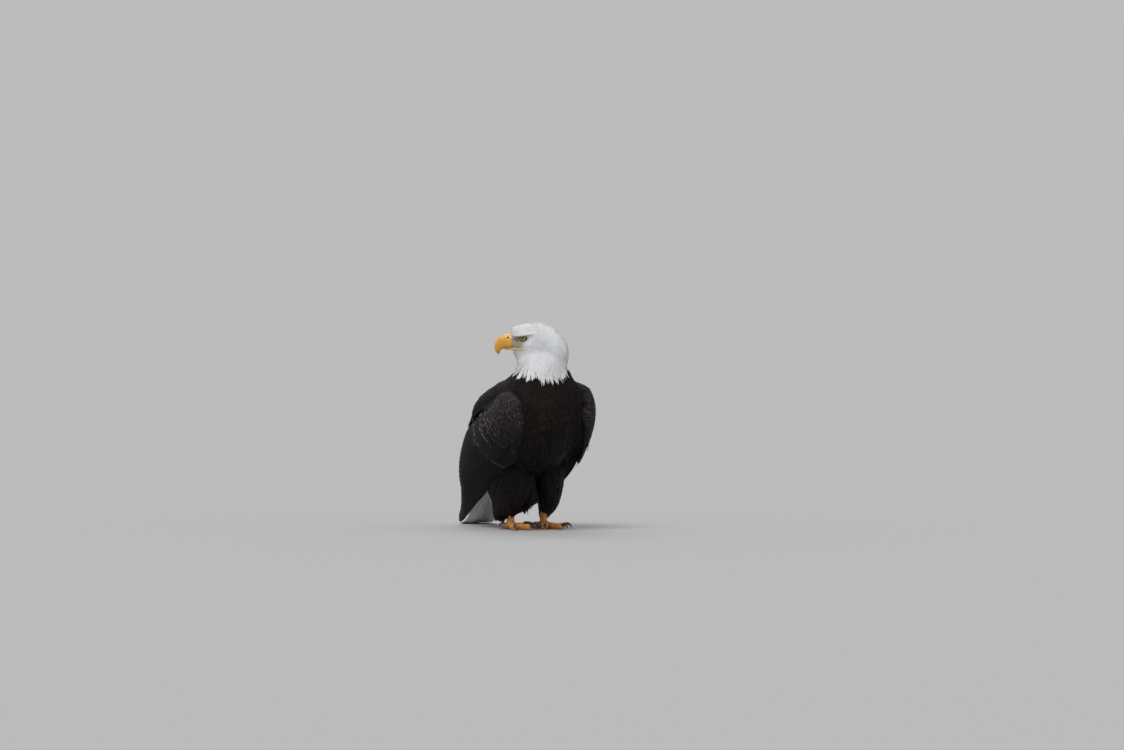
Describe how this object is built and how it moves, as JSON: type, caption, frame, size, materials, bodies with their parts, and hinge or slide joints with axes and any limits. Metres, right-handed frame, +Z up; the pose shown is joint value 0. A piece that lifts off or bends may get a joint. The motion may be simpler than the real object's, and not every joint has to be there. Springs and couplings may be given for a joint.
{
  "type": "bald eagle",
  "caption": "Still life-size bald eagle standing on flat feet and tail tip, white head turned over its right shoulder, dark folded wings, hooked yellow bill, taloned yellow feet.",
  "frame": {"origin": "on the floor, at the middle of the bird's bounding box", "axes": "+Z up, +X to the bird's left, the breast and toes face -Y and the tail points to +Y"},
  "size_m": [0.3004, 0.5114, 0.5504],
  "materials": {
    "feather_white": "matt white contour feathers with fine shafts",
    "feather_dark": "satin blackish-brown feathers with paler edges on the wing coverts",
    "bill_horn": "semi-gloss orange-yellow horn",
    "eye": "wet pale straw-yellow iris round a black pupil",
    "foot_skin": "scaly yellow-orange skin",
    "claw_horn": "semi-gloss black horn"
  },
  "bodies": {
    "root": {"head": "feather_white", "neck": "feather_white", "trunk": "feather_dark", "tail_coverts": "feather_white", "bill_upper": "bill_horn", "bill_lower": "bill_horn", "tail": "feather_white", "eye_left": "eye", "eye_right": "eye", "wing_left_arm": "feather_dark", "wing_left_secondaries": "feather_dark", "wing_left_primaries": "feather_dark", "wing_left_alula": "feather_dark", "wing_right_arm": "feather_dark", "wing_right_secondaries": "feather_dark", "wing_right_primaries": "feather_dark", "wing_right_alula": "feather_dark", "thigh_left": "feather_dark", "thigh_right": "feather_dark", "shank_left": "foot_skin", "shank_right": "foot_skin", "foot_left": "foot_skin", "foot_right": "foot_skin", "claw_left_hind": "claw_horn", "claw_left_inner": "claw_horn", "claw_left_middle": "claw_horn", "claw_left_outer": "claw_horn", "claw_right_hind": "claw_horn", "claw_right_inner": "claw_horn", "claw_right_middle": "claw_horn", "claw_right_outer": "claw_horn"}
  },
  "joints": []
}
